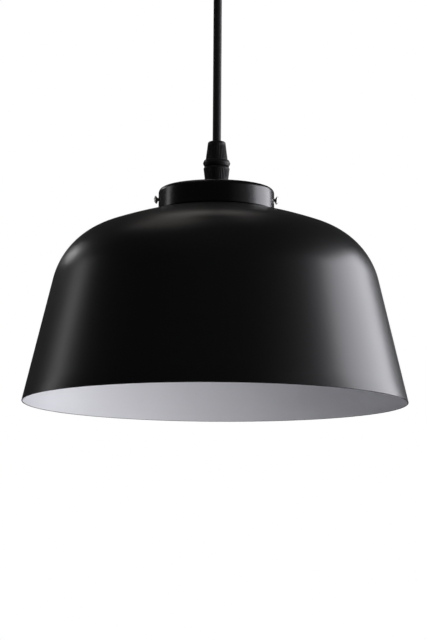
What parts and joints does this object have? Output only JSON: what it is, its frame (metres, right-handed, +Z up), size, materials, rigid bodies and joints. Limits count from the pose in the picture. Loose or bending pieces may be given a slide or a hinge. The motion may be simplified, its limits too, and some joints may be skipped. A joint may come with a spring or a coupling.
{
  "type": "pendant ceiling light",
  "caption": "Black bell-shaped metal pendant light with a white inside, hung on a black flex from a ceiling cup, with ribbed cord grips and a screw-in bulb.",
  "frame": {"origin": "centre of the ceiling bracket's top face, on the ceiling", "axes": "+Z up into the ceiling, the lamp hangs along -Z; +X to the right and through both pairs of side screws; +Y to the back"},
  "size_m": [0.3, 0.3, 0.392],
  "materials": {
    "satin_enamel": "satin black enamel outside, satin white enamel inside",
    "gloss_enamel": "gloss black enamel over fine spinning lines",
    "black_plastic": "moulded black plastic, satin",
    "cord_sheath": "smooth black PVC sheath",
    "rubber": "soft black rubber",
    "zinc": "zinc-plated steel",
    "nickel": "bright nickel plate",
    "brass": "plain brass",
    "ceramic": "unglazed white steatite",
    "nylon": "natural moulded nylon",
    "white_plastic": "white moulded plastic",
    "opal": "opal white diffuser",
    "black_glass": "black vitrified insulator",
    "core_brown": "brown core insulation",
    "core_blue": "blue core insulation",
    "core_green": "green and yellow core insulation"
  },
  "bodies": {
    "ceiling_fitting": {"ceiling_bracket": "zinc", "bracket_earth_screw": "brass", "canopy": "gloss_enamel", "canopy_screw_left": "nickel", "canopy_screw_right": "nickel", "terminal_block": "nylon", "terminal_screw_1": "zinc", "terminal_screw_2": "zinc", "terminal_screw_3": "zinc", "terminal_screw_4": "zinc", "terminal_screw_5": "zinc", "terminal_screw_6": "zinc", "upper_nipple": "zinc", "upper_lock_nut": "zinc", "upper_star_washer": "zinc", "upper_grip_body": "black_plastic", "core_live_top": "core_brown", "core_neutral_top": "core_blue", "core_earth_top": "core_green", "cord_ceiling_end": "cord_sheath", "cord_top": "cord_sheath"},
    "upper_collet": {"upper_collet": "rubber"},
    "upper_cap": {"upper_grip_cap": "black_plastic"},
    "flex": {"cord_bend": "cord_sheath"},
    "pendant": {"cord": "cord_sheath", "cord_pendant_end": "cord_sheath", "lower_grip_body": "black_plastic", "lower_nipple": "zinc", "lower_star_washer": "zinc", "lower_lock_nut": "zinc", "fitter_cup": "gloss_enamel", "fitter_screw_left": "nickel", "fitter_screw_right": "nickel", "fitter_nut_left": "zinc", "fitter_nut_right": "zinc", "shade": "satin_enamel", "holder_cap": "gloss_enamel", "holder_earth_screw": "brass", "holder_insert": "ceramic", "holder_terminal_live": "brass", "holder_terminal_neutral": "brass", "screw_shell": "brass", "centre_contact": "brass", "holder_skirt": "black_plastic", "core_live": "core_brown", "core_neutral": "core_blue", "core_earth": "core_green"},
    "lower_collet": {"lower_collet": "rubber"},
    "lower_cap": {"lower_grip_cap": "black_plastic"},
    "bulb_thread": {"bulb_contact": "zinc"},
    "bulb": {"bulb_insulator": "black_glass", "bulb_screw_cap": "nickel", "bulb_housing": "white_plastic", "bulb_globe": "opal"}
  },
  "joints": [
    {"name": "swing_side", "type": "hinge", "parent": "ceiling_fitting", "child": "flex", "pos_m": [0, 0, -0.073], "axis": [0, 1, 0], "range_deg": [-30, 30]},
    {"name": "swing_front", "type": "hinge", "parent": "flex", "child": "pendant", "pos_m": [0, 0, -0.093], "axis": [1, 0, 0], "range_deg": [-30, 30]},
    {"name": "upper_cap_slide", "type": "slide", "parent": "ceiling_fitting", "child": "upper_collet", "axis": [0, 0, -1], "range_m": [0, 0.0046]},
    {"name": "upper_cap_turn", "type": "hinge", "parent": "upper_collet", "child": "upper_cap", "pos_m": [0, 0, -0.053], "axis": [0, 0, -1], "range_deg": [0, 1080]},
    {"name": "lower_cap_slide", "type": "slide", "parent": "pendant", "child": "lower_collet", "axis": [0, 0, 1], "range_m": [0, 0.0046]},
    {"name": "lower_cap_turn", "type": "hinge", "parent": "lower_collet", "child": "lower_cap", "pos_m": [0, 0, -0.195], "axis": [0, 0, 1], "range_deg": [0, 1080]},
    {"name": "bulb_slide", "type": "slide", "parent": "pendant", "child": "bulb_thread", "axis": [0, 0, -1], "range_m": [0, 0.0182]},
    {"name": "bulb_turn", "type": "hinge", "parent": "bulb_thread", "child": "bulb", "pos_m": [0, 0, -0.28], "axis": [0, 0, -1], "range_deg": [0, 1800]}
  ],
  "couplings": [
    {"joint": "upper_cap_slide", "follows": "upper_cap_turn", "m_per_rad": 0.00023873},
    {"joint": "lower_cap_slide", "follows": "lower_cap_turn", "m_per_rad": 0.00023873},
    {"joint": "bulb_slide", "follows": "bulb_turn", "m_per_rad": 0.00057773}
  ]
}
